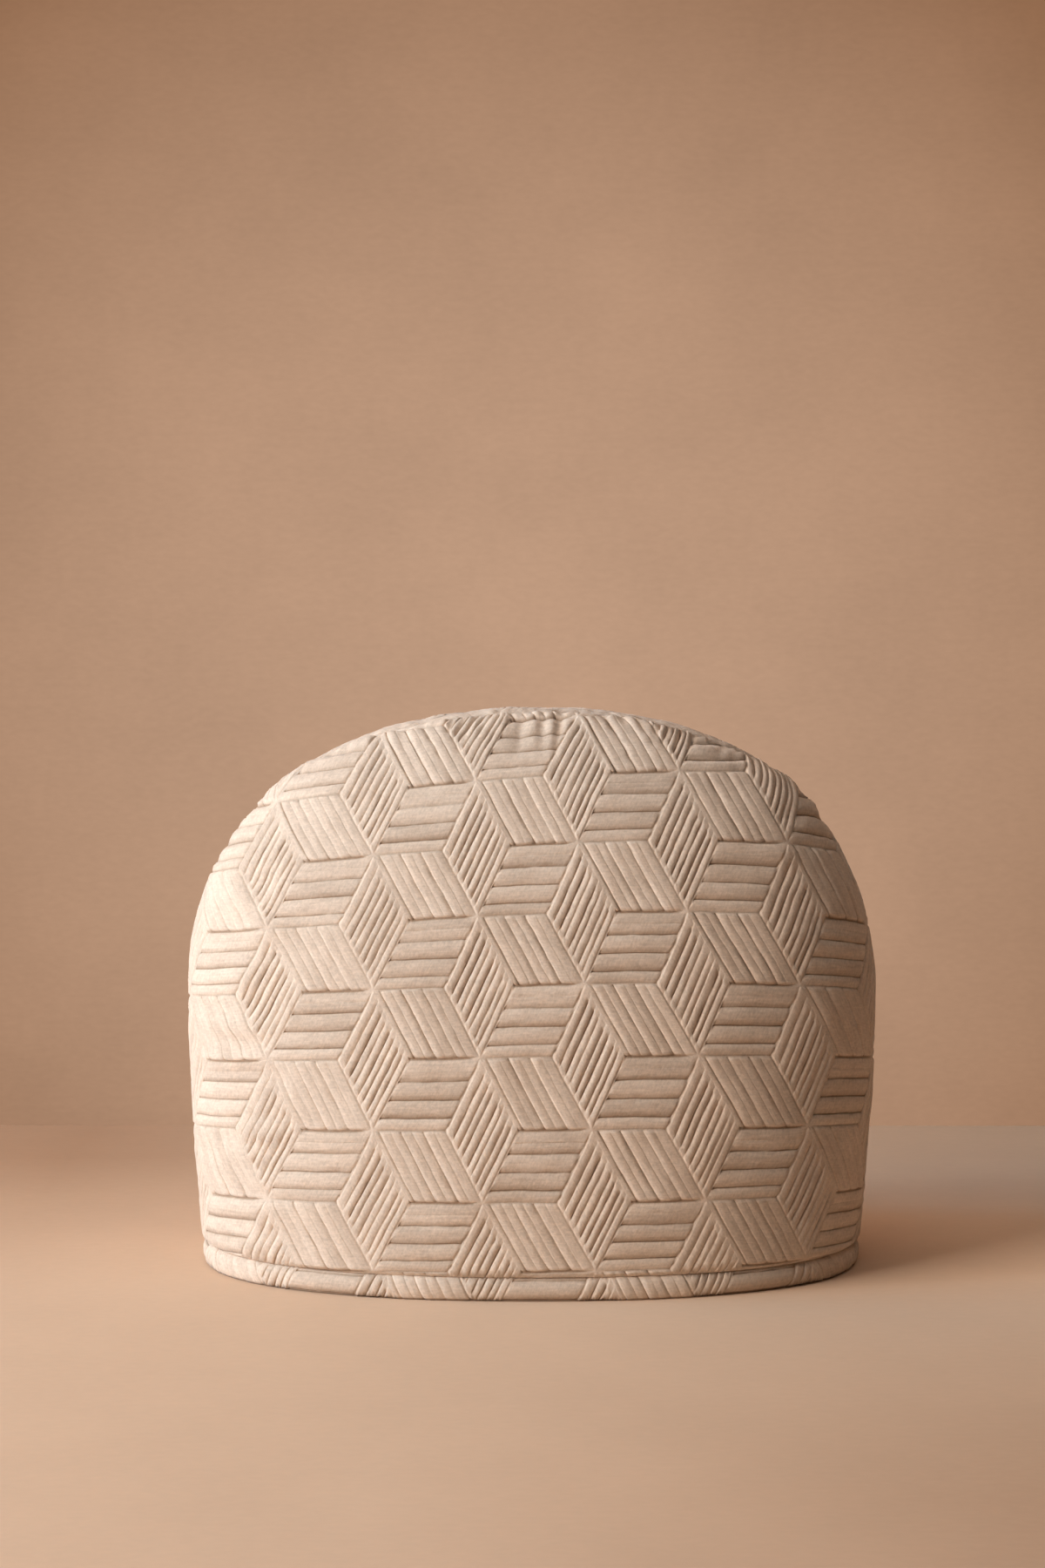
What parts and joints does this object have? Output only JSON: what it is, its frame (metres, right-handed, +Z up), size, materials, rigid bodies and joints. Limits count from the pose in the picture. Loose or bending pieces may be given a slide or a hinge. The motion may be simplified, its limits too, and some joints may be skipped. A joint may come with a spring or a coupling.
{
  "type": "tea cosy",
  "caption": "Padded fabric tea cosy: a quilted dome with a raised tumbling-block pattern, arched seam and soft rolled hem, open below.",
  "frame": {"origin": "centre of the footprint, on the surface that the hem stands on", "axes": "+X to the right along the arched seam, -Y out of the front panel, +Z up"},
  "size_m": [0.3009, 0.1702, 0.2417],
  "materials": {
    "front_cloth": "matte cream quilted cotton",
    "back_cloth": "matte cream quilted cotton",
    "hem_cloth": "matte cream quilted cotton"
  },
  "bodies": {
    "root": {"front_panel": "front_cloth", "back_panel": "back_cloth", "hem_binding": "hem_cloth"}
  },
  "joints": []
}
